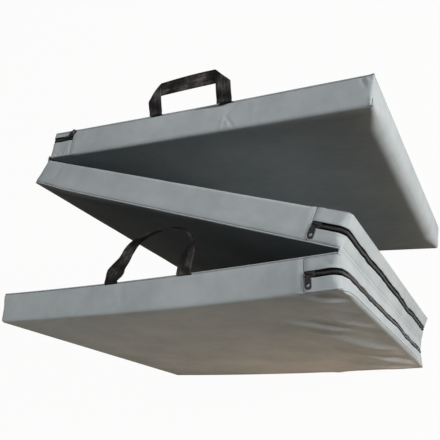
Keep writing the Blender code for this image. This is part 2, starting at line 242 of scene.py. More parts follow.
def foam_material():
    n = material("white_foam")
    place = n.coordinates()
    cells = n.cells(place, 700.0)
    colour = n.ramp(n.noise(place, 60.0), (0.3, (0.74, 0.73, 0.68)), (0.7, (0.82, 0.81, 0.76)))
    return n.finish(colour, n.span(cells, 0.8, 0.95), [(cells, 0.5, 0.0004)])


DARK, LIGHT = (0, 0, 0), (1, 1, 1)


def webbing_material():
    """Ribbed polypropylene webbing, from a strap's own UV: U along it and V across it, in metres."""
    n = material("black_webbing")
    place = n.coordinates("UV")
    ribs = n.wave(place, 150.0, "Y", 0.3)
    picks = n.wave(place, 210.0, "X", 0.3)
    twill = n.wave(place, 260.0, "DIAGONAL", 0.4)
    fuzz = n.noise(n.coordinates(), 1400.0, 3.0, 0.7)
    worn = n.noise(n.coordinates(), 34.0, 3.0, 0.6)
    streaks = n.noise(n.scaled(place, (16.0, 330.0, 1.0)), 1.0, 3.0, 0.6)
    tone = n.total((ribs, 0.132), (picks, 0.066), (fuzz, 0.15),
                   (n.ramp(worn, (0.38, DARK), (0.64, LIGHT)), 0.35),
                   (n.ramp(streaks, (0.36, DARK), (0.68, LIGHT)), 0.24))
    colour = n.ramp(tone, (0.17, (0.006, 0.006, 0.006)), (0.44, (0.022, 0.020, 0.020)),
                    (0.80, (0.110, 0.101, 0.096)))
    bumps = [(ribs, 0.45, 0.00022), (n.math("ADD", twill, picks), 0.35, 0.00012), (fuzz, 0.35, 0.00012)]
    return n.finish(colour, n.span(worn, 0.7, 0.9), bumps, 0.005)


def tape_material():
    n = material("zip_tape")
    place = n.coordinates()
    weave = n.math("ADD", n.wave(place, 500.0, "X"), n.wave(place, 500.0, "Y"))
    colour = n.ramp(n.noise(place, 900.0), (0.3, (0.001, 0.001, 0.001)), (0.7, (0.004, 0.004, 0.004)))
    return n.finish(colour, n.span(n.noise(place, 60.0), 0.7, 0.9), [(weave, 0.5, 0.0001)], 0.03)


def coil_material():
    n = material("zip_coil")
    place = n.coordinates()
    colour = n.ramp(n.noise(place, 300.0), (0.3, (0.004, 0.004, 0.004)), (0.7, (0.012, 0.011, 0.011)))
    return n.finish(colour, n.span(n.noise(place, 900.0), 0.22, 0.40), specular=0.30)


def metal_material():
    """Black painted zinc, rubbed bare in places."""
    n = material("black_zip_metal")
    rub = n.noise(n.coordinates(), 520.0, 4.0, 0.65)
    colour = n.ramp(rub, (0.0, (0.006, 0.006, 0.007)), (0.62, (0.010, 0.010, 0.011)),
                    (0.80, (0.028, 0.027, 0.025)))
    return n.finish(colour, n.span(rub, 0.34, 0.50), [(rub, 0.12, 0.00008)], 0.08)


def thread_material(name, dark, light):
    n = material(name)
    place = n.coordinates()
    colour = n.ramp(n.noise(place, 700.0), (0.3, dark), (0.7, light))
    twist = n.wave(place, 900.0, "DIAGONAL")
    return n.finish(colour, n.span(n.noise(place, 300.0), 0.5, 0.7), [(twist, 0.4, 0.00006)])


# Smooth repeatable randomness
def wander(place, period, seed):
    """Smooth noise along a line, from -1 to 1, with about one swing a period."""
    values = np.random.default_rng(seed).uniform(-1, 1, 4096)
    spot = np.asarray(place, float) / period + 2048
    low = np.floor(spot).astype(int)
    part = ease(spot - low, 0, 1)
    return values[low % 4096] * (1 - part) + values[(low + 1) % 4096] * part


def swell(u, v, period_u, period_v, seed):
    """Smooth noise over a surface, from -1 to 1."""
    values = np.random.default_rng(seed).uniform(-1, 1, (256, 256))
    spots = [np.asarray(u, float) / period_u + 128, np.asarray(v, float) / period_v + 128]
    lows = [np.floor(spot).astype(int) for spot in spots]
    part_u, part_v = (ease(spot - low, 0, 1) for spot, low in zip(spots, lows))
    total = 0
    for i, j in np.ndindex(2, 2):
        weight = (part_u if i else 1 - part_u) * (part_v if j else 1 - part_v)
        total = total + weight * values[(lows[0] + i) % 256, (lows[1] + j) % 256]
    return total


def creases(u, v, table):
    """Folds as heights. A row gives, in mm, where a fold starts and ends, its height and its width."""
    total = 0
    for row in table:
        u0, v0, u1, v1, height, width = (value / 1000 for value in row)
        long = np.hypot(u1 - u0, v1 - v0)
        along = ((u - u0) * (u1 - u0) + (v - v0) * (v1 - v0)) / long
        off = ((v - v0) * (u1 - u0) - (u - u0) * (v1 - v0)) / long
        fade = ease(along, -0.15 * long, 0.35 * long) * ease(along, 1.15 * long, 0.65 * long)
        total = total + height * hill(off, width) * fade
    return total


def hill(distance, width):
    return np.exp(-(distance / width) ** 2)


def ease(value, low, high):
    """0 below low, 1 above high and smooth between; low may be the larger."""
    part = np.clip((value - low) / (high - low), 0, 1)
    return part * part * (3 - 2 * part)


# Meshes
def make_object(name, points, faces, paint, uvs=None, smooth=True):
    mesh = bpy.data.meshes.new(name)
    mesh.from_pydata([tuple(point) for point in points], [], [tuple(face) for face in faces])
    mesh.validate()
    if uvs is not None:
        layer = mesh.uv_layers.new(name="strap")
        corner_points = np.zeros(len(mesh.loops), int)
        mesh.loops.foreach_get("vertex_index", corner_points)
        layer.data.foreach_set("uv", np.asarray(uvs, float)[corner_points].ravel())
    if smooth:
        mesh.shade_smooth()
    if paint is not None:
        mesh.materials.append(paint)
    thing = bpy.data.objects.new(name, mesh)
    bpy.context.scene.collection.objects.link(thing)
    return thing


def make_solid(name, points, faces, paint, uvs=None):
    """A closed mesh, its faces turned outwards."""
    thing = make_object(name, points, faces, paint, uvs)
    bm = bmesh.new()
    bm.from_mesh(thing.data)
    bmesh.ops.recalc_face_normals(bm, faces=bm.faces)
    bm.to_mesh(thing.data)
    bm.free()
    return thing


def dress(thing, node, body):
    """Hides the solid a piece replaces and hangs the piece on the body it rides on."""
    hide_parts(node)
    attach(thing, body)


def bar_faces(long, wide, first=0, flip=False):
    """The sides and ends of a closed bar, from its rings of points."""
    faces = []
    for start in range(first, first + (long - 1) * wide, wide):
        for j in range(wide):
            after = (j + 1) % wide
            face = (start + j, start + after, start + wide + after, start + wide + j)
            faces.append(face[::-1] if flip else face)
    last = first + (long - 1) * wide
    return faces + [tuple(range(first, first + wide)), tuple(range(last, last + wide))[::-1]]


def distances(points):
    """How far along a row of points each one lies."""
    steps = np.linalg.norm(np.diff(points, axis=0), axis=1)
    return np.concatenate([[0], np.cumsum(steps)])


def unit(vectors):
    return vectors / np.maximum(np.linalg.norm(vectors, axis=-1, keepdims=True), 1e-12)


def placed(points, matrix):
    array = np.array(matrix)
    return points @ array[:3, :3].T + array[:3, 3]


# The cover of one panel
RIM = [0.0, 0.0005, 0.001, 0.0015, 0.003, 0.0045, 0.006]
# Finer grid lines where A's upper side has sharp creases
CREASED = np.linspace(-0.006, 0.122, 86)
# The plane past B's plain end on which its worn corner is parted off
WORN_FROM = HALF + 0.0003
# How round a sheet's cut edge is rolled in or folded under
EDGE_ROLL = 0.0007
# In mm: where a crease starts and ends along the panel and from its face, its height and its width
TOP_CREASES = {
    "a": [(66, 25, 60.2, 50, 0.6, 2.2), (66.6, 25, 86.2, 51, -0.9, 2.4), (72, 34, 74.5, 50, 0.5, 3),
          (69, 26, 88, 6, -0.7, 3), (85, 7, 115, 5.5, 0.9, 2.2), (5, 3.2, 66, 3.6, -3.4, 2.4),
          (32, 4.8, 70, 5.2, -2.6, 2.4), (6, 8.5, 68, 8.5, 1.2, 3.4), (282.5, 3, 290, 20, -2.4, 2.2),
          (288, 4, 295, 18, 1, 3), (-283, 44, -280, 51.5, -1.4, 2), (-271, 43, -268, 51.5, -1.4, 2),
          (-260, 44, -256, 51.5, -1.2, 2)],
    "b": [(-255, 40, -270, 20, -0.8, 3.5), (150, 8, 165, 45, 0.4, 6), (-100, 5, -108, 45, 0.4, 7)],
    "c": [(275, 8, 295, 22, -0.6, 3.5), (-60, 5, -50, 40, 0.5, 6), (130, 6, 138, 46, 0.4, 6)],
}
# The same in C's outer face, by the places along the panel and up from the floor
WRAP_CREASES = [
    (240, 602, 286, 530, 3, 9), (264, 602, 300, 540, -3, 8), (160, 525, 268, 375, 4.5, 10.5),
    (150, 498, 256, 345, -3.2, 10), (176, 467, 262, 262, 3.4, 9.5), (212, 505, 286, 330, -3, 9),
    (235, 480, 292, 360, 2.6, 8), (200, 380, 288, 180, 3, 9), (182, 311, 292, 49, 4, 9.5),
    (165, 300, 276, 40, -3.2, 9), (145, 195, 285, 8, 4, 9.5), (195, 225, 295, 20, 3, 7),
    (222, 235, 297, 60, -2.8, 7), (120, 150, 262, 0, -2.8, 9),
]


def fill_lines(stops, steps):
    """Grid lines through all stops, with at most the given step in each interval."""
    lines = []
    for low, high, step in zip(stops, stops[1:], steps):
        count = max(int(np.ceil((high - low) / step - 1e-9)), 1)
        lines += list(np.linspace(low, high, count, endpoint=False))
    return np.array(lines + [stops[-1]])


def side_lines(middle_step):
    """Lines across a panel, from one end to the other."""
    near = RIM + [0.018, 0.050, 0.100]
    stops = [-HALF + place for place in near] + [HALF - place for place in near[::-1]]
    rims = [1] * (len(RIM) - 1)
    return fill_lines(stops, rims + [0.002, 0.0035, 0.005, middle_step, 0.005, 0.0035, 0.002] + rims)


def depth_lines(panel):
    """Lines through a panel's thickness, from its face to its back."""
    stops = [0.0, 0.0005, 0.001, 0.0015, FACE_DEPTH, panel.zip_in - SLOT / 2, panel.zip_in + SLOT / 2,
             THICK - SOFT_EDGE]
    stops += [THICK - place for place in RIM[::-1][1:]]
    near_edge = 0.0009 if panel.letter == "a" else 0.0018
    return fill_lines(stops, [1, 1, 1, 1, near_edge, 0.005, 0.0019] + [1] * 6)


class Cover:
    """A skin of quads wrapped round a panel's rounded slab, before it is cut into its sheets."""

    def __init__(self, panel, across, depths, upright):
        self.panel = panel
        self.lines = across, depths, upright
        last_x, last_e, last_z = (len(lines) - 1 for lines in self.lines)
        found = {}
        cells = []

        def quad(*corners):
            cells.append([found.setdefault(corner, len(found)) for corner in corners])

        for i in range(last_x):
            for k in range(last_z):
                for j in (0, last_e):
                    quad((i, j, k), (i + 1, j, k), (i + 1, j, k + 1), (i, j, k + 1))
        for j in range(last_e):
            for i in range(last_x):
                for k in (0, last_z):
                    quad((i, j, k), (i + 1, j, k), (i + 1, j + 1, k), (i, j + 1, k))
            for k in range(last_z):
                for i in (0, last_x):
                    quad((i, j, k), (i, j, k + 1), (i, j + 1, k + 1), (i, j + 1, k))
        keys = np.array(list(found))
        self.number = np.full((last_x + 1, last_e + 1, last_z + 1), -1)
        self.number[tuple(keys.T)] = np.arange(len(keys))
        self.cells = np.array(cells)
        self.cut = np.zeros(len(keys), bool)
        self.x, self.depth_line, self.z = (lines[key] for lines, key in zip(self.lines, keys.T))
        self.cap = (self.depth_line == 0) | (self.depth_line == THICK)
        self.wall = ~self.cap
        self.x_leads = np.abs(self.x) >= np.abs(self.z)
        self.z_leads = np.abs(self.z) >= np.abs(self.x)
        self.zipped = self.x * panel.zip_end > 0
        self.wrap_round()
        self.orient()
        self.normals = self.find_normals()

    def wrap_round(self):
        """Moves the block's points onto the slab with its rounded corners and edges."""
        across, upward = np.abs(self.x), np.abs(self.z)
        inset = HALF - np.maximum(across, upward)
        near_face = self.depth_line < HALF_T
        from_rim = np.where(near_face, self.depth_line, THICK - self.depth_line)
        if self.panel.letter == "c":
            # The band's seam lies on the rim, and slips down the end wall between the corners
            on_rim = np.where(self.z_leads, 1, ease(upward, 0.262, 0.296))
            drawn = 1 - 0.78 * on_rim * ease(from_rim, 0.012, C_SEAM)
            from_rim = np.where(near_face, from_rim, from_rim * drawn)
        radius = np.where(near_face, SEWN_EDGE, self.back_radius())
        angle = np.radians(np.where(self.cap, 45 * (1 - np.minimum(inset / radius, 1)),
                                    45 + 45 * np.minimum(from_rim / radius, 1)))
        curled = np.where(self.cap, inset < radius, from_rim < radius)
        self.inset = np.where(curled, radius * (1 - np.sin(angle)), inset)
        depth = np.where(curled, radius * (1 - np.cos(angle)), from_rim)
        self.depth = np.where(near_face, depth, THICK - depth)

        corner = self.corner_radius()
        a = across - (HALF - corner)
        b = upward - (HALF - corner)
        in_corner = (a > 0) & (b > 0)
        level = np.maximum(corner - self.inset, 0) / np.maximum(np.hypot(a, b), 1e-9)
        most = HALF - self.inset
        plain_x = np.where(self.x_leads, most, np.minimum(across, most))
        plain_z = np.where(self.x_leads, np.minimum(upward, most), most)
        new_x = np.where(in_corner, HALF - corner + a * level, plain_x)
        new_z = np.where(in_corner, HALF - corner + b * level, plain_z)
        self.at = np.stack([np.sign(self.x) * new_x, self.panel.face * (HALF_T - self.depth),
                            np.sign(self.z) * new_z + HALF], 1)

    def back_radius(self):
        """Crisp where the zip's band is sewn on, soft elsewhere, and very soft at A's free end."""
        from_end = HALF - self.panel.zip_end * self.x
        past_band = ease(from_end, BAND_REACH - 0.002, BAND_REACH + 0.012)
        radius = SEWN_EDGE + (SOFT_EDGE - SEWN_EDGE) * past_band
        up = np.abs(self.z)
        if self.panel.letter == "a":
            radius = radius + np.where(self.x_leads & ~self.zipped, 0.017 * ease(up, 0.297, 0.225), 0)
        if self.panel.letter == "c":
            radius = radius + np.where(self.x_leads & self.zipped, 0.0045 * ease(up, 0.299, 0.215), 0)
        return radius

    def corner_radius(self):
        panel = self.panel
        off = self.depth_line - panel.zip_in
        to_back = ease(off, SLOT / 2 + 0.002, THICK - panel.zip_in)
        to_face = ease(-off, SLOT / 2 + 0.002, panel.zip_in)
        at_face, at_back = END_CORNERS[panel.letter]
        at_zip = panel.zip_corner
        round_end = at_zip - (at_zip - at_back) * to_back - (at_zip - at_face) * to_face
        plain = 0.002 + (PLAIN_CORNER - 0.002) * ease(self.depth_line, 0.004, 0.030)
        radius = np.where(self.zipped, round_end, plain)
        if panel.letter == "b":
            worn = (self.x * panel.zip_end < 0) & (self.z > 0)
            radius = np.where(worn, 0.011 - 0.008 * self.depth_line / THICK, radius)
        return radius

    def cell_normals(self):
        corners = self.at[self.cells]
        return np.cross(corners[:, 2] - corners[:, 0], corners[:, 3] - corners[:, 1])

    def orient(self):
        """Turns every cell to face out of the slab."""
        out = self.at[self.cells].mean(1) - (0, 0, HALF)
        on_cap = self.cap[self.cells].all(1)
        out = np.where(on_cap[:, None], out * (0, 1, 0), out * (1, 0, 1))
        turned = (self.cell_normals() * out).sum(1) < 0
        self.cells[turned] = self.cells[turned][:, ::-1]

    def find_normals(self):
        normal = self.cell_normals()
        total = np.zeros_like(self.at)
        for corner in range(4):
            np.add.at(total, self.cells[:, corner], normal)
        return unit(total)

    def labels(self):
        """Which sheet each cell belongs to."""
        panel = self.panel
        depth = self.depth_line[self.cells].mean(1)
        x = self.x[self.cells].mean(1) * panel.zip_end
        seam = THICK - (C_SEAM if panel.letter == "c" else 0)
        banded = self.wall[self.cells].any(1) & (x > HALF - BAND_REACH)
        banded &= (depth > FACE_DEPTH) & (depth < seam)
        label = np.full(len(depth), "wrap_sheet", dtype=object)
        label[depth < FACE_DEPTH] = "face_sheet"
        label[banded & (depth < panel.zip_in)] = "zip_band_face"
        label[banded & (depth > panel.zip_in)] = "zip_band_back"
        label[banded & (np.abs(depth - panel.zip_in) < SLOT / 2)] = "slot"
        return label

    def sample(self, values, other):
        """Values given at this cover's points, read off at the points of another."""
        places = [np.interp(spot, lines, np.arange(len(lines))) for spot, lines in
                  zip((other.x, other.depth_line, other.z), self.lines)]
        lows = [np.minimum(np.floor(place).astype(int), size - 2)
                for place, size in zip(places, self.number.shape)]
        parts = [place - low for place, low in zip(places, lows)]
        total = np.zeros((len(other.x), 3))
        for corner in np.ndindex(2, 2, 2):
            weight = np.ones(len(other.x))
            for step, part in zip(corner, parts):
                weight = weight * (part if step else 1 - part)
            index = self.number[tuple(low + step for low, step in zip(lows, corner))]
            total += np.where(index < 0, 0, weight)[:, None] * values[np.maximum(index, 0)]
        return total

    def evened(self, values, rounds):
        """Values smoothed over the cover's own quads."""
        for _ in range(rounds):
            mean = values[self.cells].mean(1)
            total = np.zeros_like(values)
            share = np.zeros(len(values))
            for corner in range(4):
                np.add.at(total, self.cells[:, corner], mean)
                np.add.at(share, self.cells[:, corner], 1)
            values = total / share[:, None]
        return values

    def track(self):
        """How far along its zip each wall point lies, by the block's lines."""
        x = self.panel.zip_end * self.x
        on_end = self.x_leads & (x > 0)
        spot = np.where(on_end, BAND_REACH + HALF - self.z, x - HALF + BAND_REACH)
        spot = np.where(~on_end & (self.z < 0), BAND_REACH + SIDE + HALF - x, spot)
        corner = self.panel.zip_corner
        run = BAND_REACH - corner
        bend = corner * pi / 2
        long = SIDE - 2 * corner
        blocks = np.cumsum([0, run, 2 * corner, long, 2 * corner, run])
        real = np.cumsum([0, run, bend, long, bend, run])
        return np.interp(spot, blocks, real)

    def shape(self, pulled):
        """The cover's form: bow, crown, soft corners, puffed seams and the folds the photo shows."""
        panel = self.panel
        letter = panel.letter
        seed = ord(letter)
        x, _, z = self.at.T
        up = z - HALF
        depth = self.depth
        wall = self.wall
        from_end = HALF - panel.zip_end * x
        arch = np.maximum(1 - (x / HALF) ** 2, 0)
        spare = arch * np.maximum(1 - (up / HALF) ** 2, 0)
        back_side = self.cap & (depth > HALF_T)
        outer = (self.cap & ~back_side) if letter == "a" else back_side
        push = np.where(outer, panel.crown * spare, 0)
        push += np.where(self.cap, 0.0004 * swell(x, up, 0.11, 0.13, 11) * spare, 0)

        # Seams: the sheets sink at them and puff up beside them, gathered by the thread
        line = np.where(self.z_leads, self.x, self.z + 2)
        pucker = 0.7 + 0.3 * wander(line, 0.006, 21)
        puff = 0.6 + 0.4 * wander(line, 0.022, 5)
        edge_seam = 0.0006 * puff * hill(depth - 0.011, 0.006)
        edge_seam = edge_seam - 0.0008 * pucker * hill(depth - FACE_DEPTH, 0.0016)
        push += np.where(wall, edge_seam, 0)
        past = from_end - BAND_REACH
        side_seam = (0.0008 * hill(past - 0.007, 0.006) + 0.0006 * hill(past + 0.008, 0.006)
                     - 0.0010 * hill(past, 0.0022))
        push += np.where(wall & (np.abs(self.z) > HALF - 0.001), side_seam, 0)

        # The bands beside the zip are loose, and the zip wanders between them
        along = self.track()
        banded = wall & (from_end < BAND_REACH)
        from_zip = np.abs(self.depth_line - panel.zip_in)
        lips = hill(from_zip - SLOT / 2, 0.005) * (wander(along, 0.017, seed + 1) * 0.00055 + 0.0001)
        push += np.where(banded, lips, 0)
        carried = 1 - ease(from_zip, 0.0065, 0.024 if letter == "c" else 0.015)
        lip = 0.00035 * wander(along, 0.011, seed + 2) * np.sign(self.depth_line - panel.zip_in)
        shift = panel.zip_shift(along) + lip * ease(along, 0.045, 0.10)
        self.at[:, 1] += np.where(banded, panel.face * carried * shift, 0)

        # Slack and folds
        top_wall = wall & (up > HALF - 0.020) & self.z_leads
        push += np.where(top_wall, self.top_folds(x, depth), 0)
        push += self.face_folds(x, z, back_side)
        if letter == "a":
            push += self.pinched_corner()
            below = HALF - up
            near = np.where(self.cap, hill(below, 0.030) * ~back_side, hill(depth, 0.010))
            self.at[:, 2] -= 0.0023 * arch * (up > 0) * near
            swollen = np.where(self.cap, hill(below, 0.05) * back_side, hill(THICK - depth, 0.008))
            self.at[:, 1] -= 0.0009 * arch * (up > 0) * swollen
        self.at[:, 1] += panel.face * panel.end_drop(x, up, depth)
        if letter == "b":
            # The worn corner next to the fold stands out at the face's side
            near = hill(up - HALF + 0.010, 0.040)
            bulge = 0.0157 * np.clip(1 - depth / 0.050, 0, 1) * near
            self.at[:, 0] -= panel.zip_end * bulge * ease(from_end, SIDE - 0.030, SIDE)
            thinner = 0.0035 * ease(depth, 0.030, 0.0) * near * ease(from_end, SIDE - 0.080, SIDE)
            self.at[:, 1] -= panel.face * thinner
        self.at = self.at + pulled + self.normals * push[:, None]
        self.at[:, 1] -= panel.bow_at(self.at[:, 0])
        self.normals = self.find_normals()

    def top_folds(self, x, depth):
        """Soft ripples and creases in the upper side wall, as heights."""
        seed = ord(self.panel.letter)
        ripples = 0.00022 * wander(x, 0.009, seed) * hill(depth - 0.022, 0.018)
        ripples = ripples + 0.00025 * swell(x, depth, 0.035, 0.030, seed + 3)
        return ripples + creases(x, depth, TOP_CREASES[self.panel.letter])

    def pinched_corner(self):
        """A's upper plain corner: pulled out to a point at the face, nipped together at the back."""
        here = (self.x * self.panel.zip_end < 0) & (self.z > 0) & self.wall
        from_corner = HALF - np.minimum(np.abs(self.x), np.abs(self.z))
        point = 0.0012 * hill(from_corner, 0.004) * hill(self.depth_line, 0.004)
        flanks = 0.0016 * hill(from_corner - 0.0035, 0.0024) - 0.0016 * hill(from_corner, 0.0010)
        nip = ease(self.depth_line, 0.034, 0.044) * flanks
        return np.where(here, point + nip, 0)

    def face_folds(self, x, z, back_side):
        """Folds in the large faces, as heights."""
        if self.panel.letter != "c":
            return np.where(self.cap, 0.0002 * swell(x, z, 0.05, 0.06, 40), 0)
        # The wrap's slack runs up and in from the zipped end in slanting folds
        lean = radians(28)
        across = x * cos(lean) + z * sin(lean)
        along = z * cos(lean) - x * sin(lean)
        across = across + 0.012 * swell(along, across, 0.16, 0.20, 50)
        folds = 0.65 * wander(across, 0.023, 51) + 0.30 * wander(across + 0.06 * along, 0.012, 52)
        folds = folds * (0.65 + 0.35 * swell(across, along, 0.03, 0.12, 53))
        folds = np.where(folds < 0, 0.6 * folds, folds)
        from_end = HALF - x
        strength = 0.12 + 0.88 * ease(from_end, 0.26, 0.08) * ease(from_end, 0.006, 0.030)
        edge = ease(HALF - np.abs(x), 0.000, 0.020) * ease(HALF - np.abs(z - HALF), 0.001, 0.012)
        heights = 0.0055 * folds * strength + 1.3 * creases(x, z, WRAP_CREASES)
        return np.where(back_side, heights * edge, 0)

    def land(self, spots, ways):
        """The cover's surface points and normals nearest to spots near its walls, in the panel's frame."""
        used = self.wall[self.cells].any(1)
        tree = BVHTree.FromPolygons(self.at.tolist(), self.cells[used].tolist())
        found = [tree.find_nearest(Vector(spot)) for spot in spots]
        points = np.array([place[0][:] for place in found])
        normals = np.array([place[1][:] for place in found])
        normals[(normals * ways).sum(1) < 0] *= -1
        return points, normals

    def part_worn_corner(self, labels):
        """Labels what stands past B's plain end on its own, parted on one plane."""
        past = self.at[:, 0] < -WORN_FROM
        far = (past & (self.z > 0.2))[self.cells].all(1)
        rim = np.intersect1d(self.cells[far], self.cells[~far])
        self.at[rim, 0] = -WORN_FROM
        self.cut[rim] = True
        return np.where(far, "worn_" + labels, labels)

    def sheet(self, name, label, labels, paint):
        """One cut piece of the cover, with its edge rolled in at a seam or folded under at the zip."""
        used, cells = np.unique(self.cells[labels == label], return_inverse=True)
        cells = cells.reshape(-1, 4)
        points = self.at[used].copy()
        normals = self.normals[used]
        edges = {}
        for cell in cells:
            for first, second in zip(cell, np.roll(cell, -1)):
                if (second, first) in edges:
                    del edges[second, first]
                else:
                    edges[first, second] = True
        border = np.array(list(edges))
        border = border[~self.cut[used][border].all(1)]
        along = unit(points[border[:, 1]] - points[border[:, 0]])
        out = np.zeros_like(points)
        for end in (0, 1):
            np.add.at(out, border[:, end], np.cross(along, normals[border[:, end]]))
        rim = np.unique(border)
        out = unit(out[rim])
        slot_edge = np.abs(np.abs(self.depth_line[used][rim] - self.panel.zip_in) - SLOT / 2) < 1e-6
        x_out = self.x[used][rim] * self.panel.zip_end > HALF - BAND_REACH - 1e-6
        folded = (slot_edge & x_out & label.startswith("zip_band"))[:, None]
        edge_normals = normals[rim]
        points[rim] -= out * np.where(folded, EDGE_ROLL, EDGE_ROLL + 0.00015)
        centres = points[rim] - edge_normals * EDGE_ROLL
        stack = [points]
        for angle in range(30, 181, 30):
            turn = np.where(folded, radians(angle), radians(min(angle, 90)))
            row = centres + EDGE_ROLL * (edge_normals * np.cos(turn) + out * np.sin(turn))
            deeper = np.where(folded, 0, max(angle - 90, 0) / 90 * 0.0012)
            stack.append(row - edge_normals * deeper)
        stack.append(stack[-1] - np.where(folded, out * 0.004, edge_normals * 0.0004))
        faces = cells.tolist()
        before = np.arange(len(points))
        after = np.full(len(points), -1)
        after[rim] = len(points) + np.arange(len(rim))
        for _ in stack[1:]:
            faces += [[before[b], before[a], after[a], after[b]] for a, b in border]
            before, after = after, after + len(rim)
        return make_object(name, placed(np.concatenate(stack), self.panel.place), faces, paint)


# Cloth
SIM_STEP = 0.0125
SIM_FRAMES = 20
# How far a panel's face and back are let out, and its walls, where another panel is sewn on or not
MOST_OUT = {"a": (0.0022, 0.0003), "b": (0.0004, 0.0003), "c": (0.0004, 0.0022)}
WALL_OUT = (0.0002, 0.0014)
CLOTH = {
    "quality": 5, "mass": 0.4, "tension_stiffness": 30, "compression_stiffness": 30,
    "shear_stiffness": 12, "bending_stiffness": 1.5, "use_pressure": True,
    "uniform_pressure_force": 4, "shrink_min": -0.006, "vertex_group_mass": "sewn",
}


def relax(panel):
    """Cloth: the sewn skin, cut a little too large, pressed out by the foam; gives how far it moves."""
    near = [0.0, SEWN_EDGE, SOFT_EDGE, 0.018]
    stops = [-HALF + place for place in near] + [HALF - place for place in near[::-1]]
    across = fill_lines(stops, [1, 1, 0.007, SIM_STEP, 0.007, 1, 1])
    depths = fill_lines([0, SEWN_EDGE, FACE_DEPTH, THICK - SOFT_EDGE, THICK - SEWN_EDGE, THICK],
                        [1, 1, SIM_STEP, 1, 1])
    coarse = Cover(panel, across, depths, across)
    skin = make_object(f"skin_{panel.letter}", coarse.at, coarse.cells, None)
    wall, depth = coarse.wall, coarse.depth_line
    banded = wall & (HALF - panel.zip_end * coarse.x < BAND_REACH)
    sewn = (wall & (depth < 0.004)) | ((depth == 0) & (coarse.inset < 0.001))
    sewn |= banded & ((np.abs(depth - panel.zip_in) < 0.009) | (depth > THICK - 0.002))
    skin.vertex_groups.new(name="sewn").add(np.flatnonzero(sewn).tolist(), 1.0, "REPLACE")
    settings = skin.modifiers.new("cloth", "CLOTH").settings
    for key, value in CLOTH.items():
        setattr(settings, key, value)
    settings.effector_weights.gravity = 0
    scene = bpy.context.scene
    for frame_number in range(1, SIM_FRAMES + 1):
        scene.frame_set(frame_number)
    mesh = skin.evaluated_get(bpy.context.evaluated_depsgraph_get()).data
    moved = np.array([vert.co[:] for vert in mesh.vertices]) - coarse.at
    scene.frame_set(1)
    bpy.data.objects.remove(skin)
    # The foam keeps the skin from going in, and the neighbours leave it little room to go out
    outwards = (moved * coarse.normals).sum(1)
    most = np.where(depth < HALF_T, *MOST_OUT[panel.letter])
    hinged = ~coarse.z_leads & ((panel.letter == "b") | (panel.zip_end * coarse.x > 0))
    most = np.where(wall, np.where(hinged, *WALL_OUT), most)
    held = most * np.tanh(np.maximum(outwards, 0) / 0.006)
    held -= 0.0004 * np.tanh(np.maximum(-outwards, 0) / 0.002)
    return coarse, coarse.normals * held[:, None]


def build_covers(paint):
    covers = {}
    for letter, panel in PANELS.items():
        upright = side_lines(0.004 if letter == "c" else 0.008)
        across = upright
        if letter == "a":
            rest = (upright < CREASED[0]) | (upright > CREASED[-1])
            across = np.sort(np.concatenate([upright[rest], CREASED]))
        cover = covers[letter] = Cover(panel, across, depth_lines(panel), upright)
        pulled = 0
        coarse, moved = relax(panel)
        pulled = cover.evened(coarse.sample(moved, cover), 6)
        cover.shape(pulled)
        labels = cover.labels()
        if letter == "b":
            labels = cover.part_worn_corner(labels)
        for part in ("face_sheet", "wrap_sheet", "zip_band_face", "zip_band_back"):
            piece = cover.sheet(f"cover_{part}_{letter}", part, labels, paint)
            dress(piece, f"{part}_{letter}", panel.body)
        for part in ("face_sheet", "wrap_sheet") if letter == "b" else ():
            piece = cover.sheet(f"worn_corner_{part}", f"worn_{part}", labels, paint)
            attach(piece, panel.body)
            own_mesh(piece)
    return covers


# Lines that run round a panel's zipped end
def end_track(panel, reach, step):
    """Points, outward normals and lengths of a line round the zipped end, in the panel's X and Z."""
    radius = panel.zip_corner
    run = reach - radius
    bend = radius * pi / 2
    total = 2 * run + 2 * bend + SIDE - 2 * radius
    along = np.linspace(0, total, int(round(total / step)) + 1)
    half = np.minimum(along, total - along)
    turn = np.clip((half - run) / radius, 0, pi / 2)
    x = HALF - reach + np.minimum(half, run) + radius * np.sin(turn)
    z = SIDE - radius * (1 - np.cos(turn)) - np.maximum(half - run - bend, 0)
    upper = along < total / 2
    points = np.stack([panel.zip_end * x, np.where(upper, z, SIDE - z)], 1)
    normals = np.stack([panel.zip_end * np.sin(turn), np.where(upper, 1, -1) * np.cos(turn)], 1)
    return points, normals, along


def end_lines(panel, insets, depths, reach, step):
    """A grid round the zipped end: one line for each inset and depth from the face."""
    points, normals, along = end_track(panel, reach, step)
    rows = []
    for inset, depth in zip(insets, depths):
        x, z = (points - normals * inset).T
        y = panel.depth_y(depth) - panel.bow_at(x) + panel.zip_shift(along) * panel.face
        rows.append(np.stack([x, y, z], 1))
    return np.stack(rows, 1), along


def make_strip(name, grid, along, across, paint):
    """A closed strip from its rings of points, with UVs along and across it in metres."""
    long, wide = grid.shape[:2]
    uvs = np.stack([np.repeat(along, wide), np.tile(np.concatenate([across, across[::-1]]), long)], 1)
    return make_solid(name, grid.reshape(-1, 3), bar_faces(long, wide), paint, uvs)


def make_tape(panel, part, way, paint):
    """Half of the zip's woven tape: flat under the folded edge of its band, thicker next to the coil."""
    across = np.array([0.3, 1.0, 2.0, 2.7, 3.4, 4.5, 7.0, 9.8, 11.6]) / 1000
    rise = np.array([0.1, 0.4, 0.3, 0.2, 0, 0, 0, 0, -0.1]) / 1000
    depths = panel.zip_in + way * across
    insets = np.append(0.0017 - rise, np.full(len(rise), 0.0022))
    grid, along = end_lines(panel, insets, np.append(depths, depths[::-1]), BAND_REACH - 0.001, 0.003)
    grid = placed(grid, panel.place)
    piece = make_strip(f"zip_cloth_{part}_{panel.letter}", grid, along, across, paint)
    dress(piece, f"zip_tape_{part}_{panel.letter}", panel.body)


